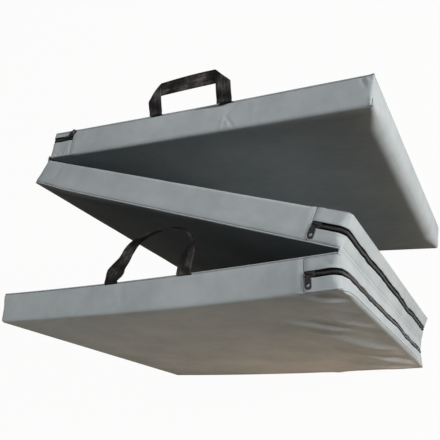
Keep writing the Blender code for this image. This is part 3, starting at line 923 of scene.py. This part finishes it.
def tubes(paths, radii, sides):
    """Closed round bars, one along each row of points; radii give each point's radius."""
    count, rings = paths.shape[:2]
    ways = unit(np.gradient(paths, axis=1))
    up = unit(np.cross(ways, np.array([0.31, 0.47, 0.83])))
    other = np.cross(ways, up)
    angle = np.arange(sides)[:, None] * 2 * pi / sides
    ring = up[:, :, None] * np.cos(angle) + other[:, :, None] * np.sin(angle)
    points = paths[:, :, None] + ring * np.asarray(radii)[None, :, None, None]
    faces = []
    for number in range(count):
        faces += bar_faces(rings, sides, number * rings * sides, flip=True)
    return points.reshape(-1, 3), faces


def make_coil(panel, paint):
    """The two rows of nylon teeth, each tooth a loop laid across the zip, in one piece."""
    pitch = 0.0020
    across = np.array([-0.0024, -0.0019, -0.0006, 0.0007])
    insets = (0.0013, 0.0007, 0.0005, 0.0009)
    rows = []
    for way, start in ((1, 0), (-1, pitch / 2)):
        reach = BAND_REACH - 0.003 - start
        rows.append(end_lines(panel, insets, panel.zip_in + way * across, reach, pitch)[0])
    points, faces = tubes(np.concatenate(rows), (0.00036, 0.00046, 0.00050, 0.00040), 5)
    core, _ = end_lines(panel, (0.0010, 0.0006, 0.0010, 0.0015),
                        panel.zip_in + np.array([-0.0012, 0, 0.0012, 0]), BAND_REACH - 0.002, 0.003)
    faces += bar_faces(*core.shape[:2], len(points))
    points = placed(np.concatenate([points, core.reshape(-1, 3)]), panel.place)
    piece = make_solid(f"zip_teeth_{panel.letter}", points, faces, paint)
    dress(piece, f"zip_coil_{panel.letter}", panel.body)


# Metal parts, in the slider's frame: the zip along X and the panel's side at Z = 0
POST = 0.0034           # from the slider's middle to the post that the pull hangs on
PULL_LONG = 0.024
PULL_WIDE = 0.009
PULL_LEVELS = (0.0016, 0.0029)
EYELET_OUT = 0.0031
EYELET_IN = 0.0017
PULL_TURNS = {"a": radians(40), "b": radians(-90), "c": radians(-90)}


def arc(centre, radius, start, end, steps):
    """Points on an arc about centre, angles in degrees."""
    angles = [radians(start + (end - start) * step / steps) for step in range(steps + 1)]
    return [(centre[0] + radius * cos(angle), centre[1] + radius * sin(angle)) for angle in angles]


def plate(outlines, low, high, bevel, upright=False):
    """A flat outline with rounded edges, as points and faces; upright stands it in the XZ plane."""
    curve = bpy.data.curves.new("plate", "CURVE")
    curve.dimensions = "2D"
    curve.fill_mode = "BOTH"
    curve.extrude = (high - low) / 2 - bevel
    curve.bevel_depth = bevel
    curve.bevel_resolution = 2
    curve.offset = -bevel
    for outline in outlines:
        spline = curve.splines.new("POLY")
        spline.points.add(len(outline) - 1)
        for point, (x, y) in zip(spline.points, outline):
            point.co = (x, y, 0, 1)
        spline.use_cyclic_u = True
    holder = bpy.data.objects.new("plate", curve)
    bpy.context.scene.collection.objects.link(holder)
    bpy.context.view_layer.update()
    mesh = bpy.data.meshes.new_from_object(holder.evaluated_get(bpy.context.evaluated_depsgraph_get()))
    bpy.data.objects.remove(holder)
    bpy.data.curves.remove(curve)
    bm = bmesh.new()
    bm.from_mesh(mesh)
    bmesh.ops.remove_doubles(bm, verts=bm.verts, dist=0.00001)
    bm.to_mesh(mesh)
    bm.free()
    points = np.array([vert.co[:] for vert in mesh.vertices])
    points[:, 2] += (low + high) / 2
    if upright:
        points = points[:, [0, 2, 1]]
    faces = [tuple(face.vertices) for face in mesh.polygons]
    bpy.data.meshes.remove(mesh)
    return points, faces


def make_metal(panel, name, node, shapes, along, turn, paint):
    """Plates in one piece on the zip: along from the slider's middle, turned about its upright."""
    points, faces = [], []
    for plate_points, plate_faces in shapes:
        first = sum(len(block) for block in points)
        points.append(plate_points)
        faces += [tuple(first + corner for corner in face) for face in plate_faces]
    x = panel.slider_x + panel.zip_end * along
    y = panel.depth_y(panel.zip_in) - panel.solid_bow_at(panel.slider_x)
    place = panel.place @ Matrix.Translation((x, y, SIDE)) @ Matrix.Rotation(turn, 4, "Z")
    points = placed(np.concatenate(points), place)
    piece = make_solid(f"{name}_{panel.letter}", points, faces, paint)
    dress(piece, f"zip_{node}_{panel.letter}", f"{node}_{panel.letter}")


def make_slider(panel, paint):
    """A shield-shaped body with raised flanges, and a bridge that holds the pull's eyelet."""
    half_long, half_wide, nose = 0.006, 0.0045, 0.0028
    upper = [(-half_long, nose - 0.0006), (-half_long + 0.0005, nose)]
    upper += arc((-0.0030, 0.0030), 0.0015, 130, 90, 3)
    upper += arc((half_long - 0.0016, half_wide - 0.0016), 0.0016, 90, 0, 4)
    body = upper + [(x, -y) for x, y in upper[::-1]]
    inner = [(x * 0.80 + 0.0003, y * 0.66) for x, y in body]
    shapes = [plate([body], 0.0, 0.0012, 0.0004), plate([inner], 0.0009, 0.00155, 0.0003)]
    flange = [(-0.0018, 0.0030), (-0.0010, 0.0042), (0.0050, 0.0042), (0.0054, 0.0032)]
    for outline in ([(x, -y) for x, y in flange[::-1]], flange):
        shapes.append(plate([outline], 0.0008, 0.0015, 0.0002))
    out, into, top, thick = 0.0042, 0.0026, 0.0043, 0.0011
    bridge = [(-out, 0.0009)] + arc((-out + 0.0013, top - 0.0013), 0.0013, 180, 90, 4)
    bridge += arc((out - 0.0013, top - 0.0013), 0.0013, 90, 0, 4) + [(out, 0.0009)]
    window = [(-into, 0.0012), (-into, top - thick), (into, top - thick), (into, 0.0012)]
    shapes.append(plate([bridge, window], -0.0009, 0.0009, 0.0003, upright=True))
    make_metal(panel, "zip_runner", "slider", shapes, 0, 0 if panel.zip_end > 0 else pi, paint)


def make_pull(panel, paint, turn):
    """The flat tab: an eyelet round the slider's post, a waist, three grip ribs and a round hole."""
    tip = PULL_LONG - EYELET_OUT
    half = PULL_WIDE / 2
    neck = 0.0026
    upper = [(EYELET_OUT + 0.0005, neck), (0.0050, neck + 0.0002)]
    upper += arc((0.0074, half - 0.0012), 0.0012, 140, 90, 3)
    upper += arc((tip - 0.0035, half - 0.0035), 0.0035, 90, 0, 8)
    loop = upper + [(x, -y) for x, y in upper[::-1]] + arc((0, 0), EYELET_OUT, 300, 60, 20)
    hole = arc((tip - 0.0055, 0), 0.0027, 0, 345, 23)
    eyelet = arc((0, 0), EYELET_IN, 0, 342, 19)
    low, high = PULL_LEVELS
    shapes = [plate([loop, hole, eyelet], low, high, 0.0003)]
    for x in (0.0072, 0.0088, 0.0104):
        rib = arc((x, -0.0030), 0.00045, 180, 360, 4) + arc((x, 0.0030), 0.00045, 0, 180, 4)
        shapes.append(plate([rib], high - 0.0003, high + 0.0003, 0.0002))
    make_metal(panel, "zip_tab", "pull", shapes, -POST, turn, paint)


def build_zips(tape, teeth, metal):
    for letter, panel in PANELS.items():
        make_tape(panel, "face", -1, tape)
        make_tape(panel, "back", 1, tape)
        make_coil(panel, teeth)
        make_slider(panel, metal)
        make_pull(panel, metal, PULL_TURNS[letter])


# Stitches
STITCH = 0.00028        # radius
STITCH_SHARE = 0.72     # of the pitch


def stitch_line(points, normals, pitch):
    """Capsule stitches along a line of points on a surface, their ends sunk in it."""
    lengths = distances(points)
    centres = (np.arange(int(lengths[-1] / pitch)) + 0.5) * pitch
    rows = []
    for part, height in ((-0.5, -1.6), (-0.36, 0.35), (0.36, 0.35), (0.5, -1.6)):
        spots = centres + part * STITCH_SHARE * pitch
        place, out = (np.stack([np.interp(spots, lengths, column) for column in values.T], 1)
                      for values in (points, normals))
        rows.append(place + out * height * STITCH)
    return np.stack(rows, 1)


def make_stitches(name, lines, panel, paint):
    points, faces = tubes(np.concatenate(lines), (STITCH * 0.6, STITCH, STITCH, STITCH * 0.6), 4)
    piece = make_solid(name, placed(points, panel.place), faces, paint)
    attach(piece, panel.body)


def end_stitches(panel, cover, depth):
    """A stitch line round the zipped end at one depth, laid on the cover's own surface."""
    points, normals, _ = end_track(panel, BAND_REACH - 0.001, 0.0012)
    x, z = points.T
    spots = np.stack([x, panel.depth_y(depth) - panel.bow_at(x), z], 1)
    return stitch_line(*cover.land(spots, np.insert(normals, 1, 0, axis=1)), 0.0040)


def side_stitches(panel, cover, x, depths, pitch):
    """Stitch lines on the lower and the upper side, through the places x and depths."""
    lines = []
    for side, way in ((0.0, -1.0), (SIDE, 1.0)):
        spots = np.stack([x, panel.depth_y(depths) - panel.bow_at(x), 0 * x + side], 1)
        lines.append(stitch_line(*cover.land(spots, np.array([0, 0, way])), pitch))
    return lines


def build_stitches(covers, grey, black):
    for letter, panel in PANELS.items():
        cover = covers[letter]
        off = SLOT / 2 + 0.0026
        lines = [end_stitches(panel, cover, panel.zip_in + way * off) for way in (-1, 1)]
        depths = np.linspace(0.004, THICK - SOFT_EDGE - 0.001, 60)
        x = np.full(60, panel.zip_end * (HALF - BAND_REACH - 0.0026))
        lines += side_stitches(panel, cover, x, depths, 0.0040)
        make_stitches(f"zip_stitches_{letter}", lines, panel, grey)
        x = panel.zip_end * np.linspace(HALF - BAND_REACH + 0.002, HALF - panel.zip_corner, 40)
        lines = side_stitches(panel, cover, x, np.full(40, 0.0046), 0.0045)
        make_stitches(f"seam_stitches_{letter}", lines, panel, black)


# Webbing
def make_strap(name, middle, along, place, paint):
    """A flat woven strap as a closed sheet with rounded selvedges, from a grid of its middle layer."""
    middle = placed(middle, place)
    normal = unit(np.cross(np.gradient(middle, axis=0), np.gradient(middle, axis=1)))
    share = np.abs(STRAP_ROWS) / STRAP_ROWS[-1]
    edge = np.sqrt(np.maximum(1 - share ** 10, 0.03))
    cord = 1 + 0.10 * hill(share - 0.86, 0.07)
    half = (WEB_THICK / 2 * edge * cord)[None, :, None]
    weave = 0.00005 * np.sin(along / 0.0016 * 2 * pi)[:, None, None]
    bottom = middle - normal * (half - weave)
    ring = np.concatenate([middle + normal * (half + weave), bottom[:, ::-1]], 1)
    return make_strip(name, ring, along, STRAP_ROWS, paint)


def seat_place(panel):
    y = panel.face * (HALF_T + SEAM_OFF) - panel.solid_bow_at(LEG_APART / 2)
    return panel.place @ Matrix.Translation((0, y, SIDE + SEAM_OFF))


GRIP_OUT = 0.057
FLAT_APART = 0.129
STRAP_ROWS = np.linspace(-1, 1, 13) * WEBBING / 2
LEAN = radians(20)
# How far a strap's end goes in through the seam, and down
ROOT_IN, ROOT_DOWN = 0.0042, 0.0022
TAIL_LONG = 0.028


def folded_strap():
    """The middle layer of the flat handle: up a leg, folded back at 45 degrees, across and down."""
    half_turn = 0.00085
    inner = (FLAT_APART - WEBBING) / 2
    reach = GRIP_OUT + inner
    marks = fill_lines([-0.004, 0.0, GRIP_OUT - WEBBING - 0.004, GRIP_OUT + 0.004, reach],
                       [0.001, 0.0035, 0.0006, 0.0040])
    # Along the fold and square to it, from where the fold line meets the leg's inner edge
    x = FLAT_APART / 2 + STRAP_ROWS - inner
    h = (marks - GRIP_OUT)[:, None]
    t = (h - x) / np.sqrt(2)
    q = (h + x) / np.sqrt(2)
    bend = pi / 2 * half_turn
    turn = np.clip((q + bend) / half_turn, 0, pi)
    square = half_turn * np.sin(turn) + np.minimum(q + bend, 0) - np.maximum(q - bend, 0)
    grid = np.stack([inner + (square - t) / np.sqrt(2), GRIP_OUT + (square + t) / np.sqrt(2),
                     half_turn * (np.cos(turn) - 1)], 2)
    whole = np.concatenate([grid, grid[-2::-1] * np.array([-1, 1, 1])])
    return whole, np.concatenate([marks, 2 * reach - marks[-2::-1]])


def blend_handle(strap, panel, node):
    """Hides the handle's solid and bakes the strap's placing into its mesh."""
    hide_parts(node)
    place = seat_place(panel)
    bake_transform(strap)


def make_handle_a(paint):
    panel = PANELS["a"]
    grid, along = folded_strap()
    x, up, level = np.moveaxis(grid, 2, 0)
    # Both halves list their rows from the leg's inner edge, so the grip's rows meet in the middle
    arch = np.clip(1 - (x / (FLAT_APART / 2)) ** 2, 0, 1)
    rise = np.clip(up / GRIP_OUT, 0, 1)
    sunk = hill(x + (FLAT_APART + WEBBING) / 2, 0.012) * hill(up - GRIP_OUT + WEBBING, 0.013)
    up = up - 0.0058 * sunk
    up = np.where(up > 0, up * (0.8725 + 0.0375 * x / (FLAT_APART / 2)), up)
    x = x + 0.10 * (x - FLAT_APART / 2) * ease(x, 0.048, 0.056) + (FLAT_APART - LEG_APART) / 2
    up = up + 0.0030 * arch * rise
    level = level - 0.0030 * arch * rise + 0.0016 * np.sin(rise * pi) * (1 - arch)
    level = level - 0.0006 * hill(up - 0.004, 0.003)
    root = np.clip(-up / 0.004, 0, 1)
    y = np.where(up < 0, -ROOT_IN * root, up * cos(LEAN) - level * sin(LEAN))
    z = np.where(up < 0, -ROOT_DOWN * root ** 2, up * sin(LEAN) + level * cos(LEAN))
    strap = make_strap("strap_a", np.stack([x, y, z], 2), along, seat_place(panel), paint)
    blend_handle(strap, panel, "handle_a")


# Route of the loose handle's middle line from its left leg: along the seam, out of the face and
# up off the panel, with how far the strap is turned from lying flat, in degrees
LOOSE_ROUTE = [
    (-0.0665, 0.0000, 0.0000, 0), (-0.0578, 0.0070, 0.0052, 44), (-0.0462, 0.0165, 0.0110, 77),
    (-0.0345, 0.0285, 0.0122, 90), (-0.0255, 0.0420, 0.0134, 94), (-0.0125, 0.0535, 0.0150, 102),
    (0.0070, 0.0605, 0.0165, 110), (0.0310, 0.0650, 0.0174, 110), (0.0570, 0.0645, 0.0174, 100),
    (0.0772, 0.0565, 0.0158, 76), (0.0855, 0.0455, 0.0130, 45), (0.0830, 0.0360, 0.0106, 28),
    (0.0785, 0.0270, 0.0080, 16), (0.0715, 0.0130, 0.0042, 6), (0.0665, 0.0000, 0.0000, 0),
]
SEWN_SQUARE = 0.016


def catmull(points, share):
    """Points on a smooth curve through the given ones, share from 0 to 1."""
    place = np.clip(share, 0, 1) * (len(points) - 1)
    start = np.clip(place.astype(int), 0, len(points) - 2)
    t = (place - start)[:, None]
    p0, p1, p2, p3 = (points[np.clip(start + step, 0, len(points) - 1)] for step in (-1, 0, 1, 2))
    return (p1 + (p2 - p0) * (t / 2) + (p0 * 2 - p1 * 5 + p2 * 4 - p3) * (t * t / 2)
            + (p1 * 3 - p0 - p2 * 3 + p3) * (t ** 3 / 2))


def make_handle_c(paint):
    panel = PANELS["c"]
    share = np.linspace(0, 1, 121)
    route = np.array(LOOSE_ROUTE)
    middle, roll = np.split(catmull(route, share), [3], axis=1)
    roll = np.radians(roll)
    run = (catmull(route, share + 0.01) - catmull(route, share - 0.01))[:, :3]
    run[0], run[-1] = (0, 1, 0), (0, -1, 0)
    run = unit(run)
    rise = unit(np.array([0, 0, 1.0]) - run * run[:, 2:])
    across = np.cross(rise, run) * np.cos(roll) + rise * np.sin(roll)
    along_seam = np.stack([np.sign(across[:, 0]), 0 * share, 0 * share], 1)
    square = np.clip(middle[:, 1:2] / SEWN_SQUARE, 0, 1)
    across = unit(along_seam * (1 - square) + across * square)
    out_of = unit(np.cross(across, run))
    cupped = 0.0012 * (1 - (STRAP_ROWS / STRAP_ROWS[-1]) ** 2) * np.sin(share * pi)[:, None] ** 2
    grid = middle[:, None] + across[:, None] * STRAP_ROWS[:, None] + out_of[:, None] * cupped[..., None]
    sunk = np.array([(0, -ROOT_IN * part, -ROOT_DOWN * part ** 2) for part in (1, 0.7, 0.35)])[:, None]
    grid = np.concatenate([grid[0] + sunk, grid, grid[-1] + sunk[::-1]])
    strap = make_strap("strap_c", grid, distances(grid[:, 6]), seat_place(panel), paint)
    blend_handle(strap, panel, "handle_c")


def make_tails(paint):
    """The ends of the straps, sewn in under the face sheets."""
    down = np.linspace(0, TAIL_LONG, 15)
    for letter in ("a", "c"):
        panel = PANELS[letter]
        for part, way in (("left", -1), ("right", 1)):
            x = way * LEG_APART / 2 + STRAP_ROWS + 0 * down[:, None]
            depth = 0.0018 + 0.0002 * np.sin(down / TAIL_LONG * pi)[:, None] + 0 * x
            z = SIDE - 0.0012 - down[:, None] + 0 * x
            grid = np.stack([x, panel.depth_y(depth) - panel.bow_at(x), z], 2)
            tail = make_strap(f"strap_end_{part}_{letter}", grid, down, panel.place, paint)
            dress(tail, f"handle_tail_{part}_{letter}", panel.body)


# Filling and hinges
def make_foam(panel, paint):
    """The slab inside the cover, its faces slightly dished as cut foam is."""
    inset = 0.0045
    long, thick = SIDE - 2 * inset, THICK - 2 * inset
    bm = bmesh.new()
    bmesh.ops.create_cube(bm, size=1)
    bmesh.ops.subdivide_edges(bm, edges=bm.edges, cuts=47, use_grid_fill=True)
    cube = np.array([vert.co[:] for vert in bm.verts])
    faces = [tuple(vert.index for vert in face.verts) for face in bm.faces]
    bm.free()
    x, y, z = cube.T
    round_off = 0.004 * (hill(0.5 - np.abs(x), 0.03) + hill(0.5 - np.abs(z), 0.03)) * (np.abs(y) > 0.49)
    at_x, at_y, up = x * long, y * (thick - 2 * round_off), z * long
    depth = HALF_T - panel.face * at_y
    at_y = at_y + 0.0006 * swell(x, z, 0.2, 0.2, 3) - panel.bow_at(at_x)
    if panel.letter == "c":
        fall = panel.end_drop(at_x, up, depth + inset)
        at_y = at_y + panel.face * (fall + 0.003 * ease(depth, 0.030, THICK - inset))
    if panel.letter == "a":
        # The back of the free end is as round as the cover
        soft = 0.024
        end = np.where(x * panel.zip_end < 0, np.abs(at_x) - (HALF - soft), 0)
        back = -panel.face * at_y - (HALF_T - soft)
        shrink = np.minimum((soft - inset) / np.maximum(np.hypot(end, back), 1e-9), 1)
        soft_edge = (end > 0) & (back > 0)
        at_x = np.where(soft_edge, np.sign(x) * (HALF - soft + end * shrink), at_x)
        at_y = np.where(soft_edge, -panel.face * (HALF_T - soft + back * shrink), at_y)
    start = long / 2 - 1.8 * np.where(x * panel.zip_end > 0, panel.zip_corner, SOFT_EDGE)
    end, side = np.abs(at_x) - start, np.abs(up) - start
    shrink = np.maximum(end, side) / np.maximum(np.hypot(end, side), 1e-9)
    in_corner = (end > 0) & (side > 0)
    at_x = np.where(in_corner, np.sign(x) * (start + end * shrink), at_x)
    up = np.where(in_corner, np.sign(z) * (start + side * shrink), up)
    points = placed(np.stack([at_x, at_y, up + HALF], 1), panel.place)
    slab = make_object(f"foam_slab_{panel.letter}", points, faces, paint)
    dress(slab, f"foam_core_{panel.letter}", panel.body)


def make_hinge(fold, axis, turns, corner, puff, paint):
    """The covers are sewn to each other along the fold: a narrow vinyl web with a seam down it.

    It turns in with the panels' rounded corners at both ends, where it is knotted off.
    """
    sign = np.sign(axis[0])
    way_start, way_end = (np.array([cos(turn), sin(turn)]) for turn in np.radians(turns))
    z = fill_lines([0.0004, corner, SIDE - corner, SIDE - 0.0004], [0.0007, 0.004, 0.0007])
    outer = []
    for share in np.linspace(-1, 1, 25):
        far = (way_start if share < 0 else way_end) * abs(share) * 0.0065
        height = puff - 0.0010 + 0.0006 * (1 - share ** 2) - 0.0004 * abs(share)
        height -= 0.0007 * hill(share, 0.045)
        outer.append(far + (sign * height, 0))
    ring = np.array(outer + [spot - (sign * 0.0006, 0) for spot in outer[::-1]])
    points = []
    for height, size in zip(z, 1 + 0.25 * wander(z, 0.03, 31)):
        beyond = max(height - (SIDE - corner), 0) - max(corner - height, 0)
        turn = np.arcsin(beyond / corner)
        knot = 0.0011 * hill(abs(height - HALF) - (HALF - 0.0020), 0.0018)
        out = ring[:, 0] * sign + knot * hill(ring[:, 1], 0.0022)
        x = axis[0] + sign * (out * cos(turn) - corner * (1 - cos(turn)))
        points.append(np.column_stack([x, axis[1] + ring[:, 1] * size, height + out * sin(turn)]))
    faces = bar_faces(len(z), len(ring))
    web = make_solid(f"hinge_web_{fold}", np.concatenate(points), faces, paint)
    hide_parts(f"hinge_seam_{fold}")
    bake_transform(web)


def build_inside(foam, vinyl):
    for panel in PANELS.values():
        make_foam(panel, foam)
    make_hinge("ab", (-EDGE, LEVEL), (-90, 105), 0.005, 0.0020, vinyl)
    make_hinge("bc", (EDGE, -LEVEL), (90, -70), 0.0052, 0.0, vinyl)


# Camera, light and floor
def look(name, position, right, down, forward, focal, centre):
    """A camera from a pinhole fit in the photograph's pixels."""
    pixels = 440
    data = bpy.data.cameras.new(name)
    data.sensor_width = 36
    data.lens = focal / pixels * data.sensor_width
    data.shift_x = (pixels / 2 - centre[0]) / pixels
    data.shift_y = (centre[1] - pixels / 2) / pixels
    camera = bpy.data.objects.new(name, data)
    camera.matrix_world = Matrix.Translation(position) @ Matrix(
        [(right[i], -down[i], -forward[i]) for i in range(3)]).to_4x4()
    bpy.context.scene.collection.objects.link(camera)
    bpy.context.scene.camera = camera


def make_floor():
    n = material("pale_floor")
    speckle = n.noise(n.coordinates(), 1.5, 3.0)
    n.finish(n.ramp(speckle, (0.35, (0.36, 0.29, 0.21)), (0.65, (0.39, 0.31, 0.23))), 0.9)
    n.show_white(n.tree.nodes["Principled BSDF"].outputs[0], "Material Output", 0.965)
    size = 12.0
    corners = [(-size, -size, 0), (size, -size, 0), (size, size, 0), (-size, size, 0)]
    floor = make_object("floor", corners, [(0, 1, 2, 3)], n.owner, smooth=False)
    floor.location.z = -0.0005


def make_world():
    world = bpy.data.worlds.new("studio")
    bpy.context.scene.world = world
    n = Nodes(world)
    grey = n.tree.nodes["Background"]
    n.feed(grey, {"Color": (0.90, 0.95, 1.0, 1), "Strength": 0.03})
    n.show_white(grey.outputs[0], "World Output", 1.0)


def area_light(name, place, target, size, power, colour=(1, 1, 1)):
    data = bpy.data.lights.new(name, "AREA")
    data.shape = "RECTANGLE"
    data.size, data.size_y = size
    data.energy = power
    data.color = colour
    lamp = bpy.data.objects.new(name, data)
    lamp.location = place
    way = Vector(target) - Vector(place)
    lamp.rotation_euler = way.to_track_quat("-Z", "Y").to_euler()
    bpy.context.scene.collection.objects.link(lamp)


def main():
    vinyl = vinyl_material()
    webbing = webbing_material()
    covers = build_covers(vinyl)
    build_zips(tape_material(), coil_material(), metal_material())
    build_stitches(covers, thread_material("grey_thread", (0.20, 0.21, 0.215), (0.30, 0.31, 0.315)),
                   thread_material("black_thread", (0.02, 0.02, 0.02), (0.05, 0.05, 0.05)))
    make_handle_a(webbing)
    make_handle_c(webbing)
    make_tails(webbing)
    build_inside(foam_material(), vinyl)
    make_floor()
    make_world()
    area_light("window", (2.3, 1.1, 0.9), (0.2, 0, 0.3), (0.7, 1.6), 122)
    area_light("overhead", (-0.1, 0.2, 2.2), (0, 0, 0.5), (1.4, 0.9), 24.5)
    area_light("cool_fill", (0.3, -1.5, 0.6), (0, -0.1, 0.3), (1.0, 0.4), 7.1, (1.0, 0.965, 0.88))
    area_light("warm_fill", (0.3, -0.5, 0.03), (0.1, -0.15, 0.05), (0.5, 0.1), 1.0, (1.0, 0.64, 0.39))
    look("photo_view", (0.5770, -0.2165, 1.3044), (0.80687, 0.34625, -0.47862),
         (0.20004, -0.92249, -0.33013), (-0.55583, 0.17063, -0.81360), 588.04, (201.36, 248.11))
    view = bpy.context.scene.view_settings
    view.view_transform = "Standard"


main()
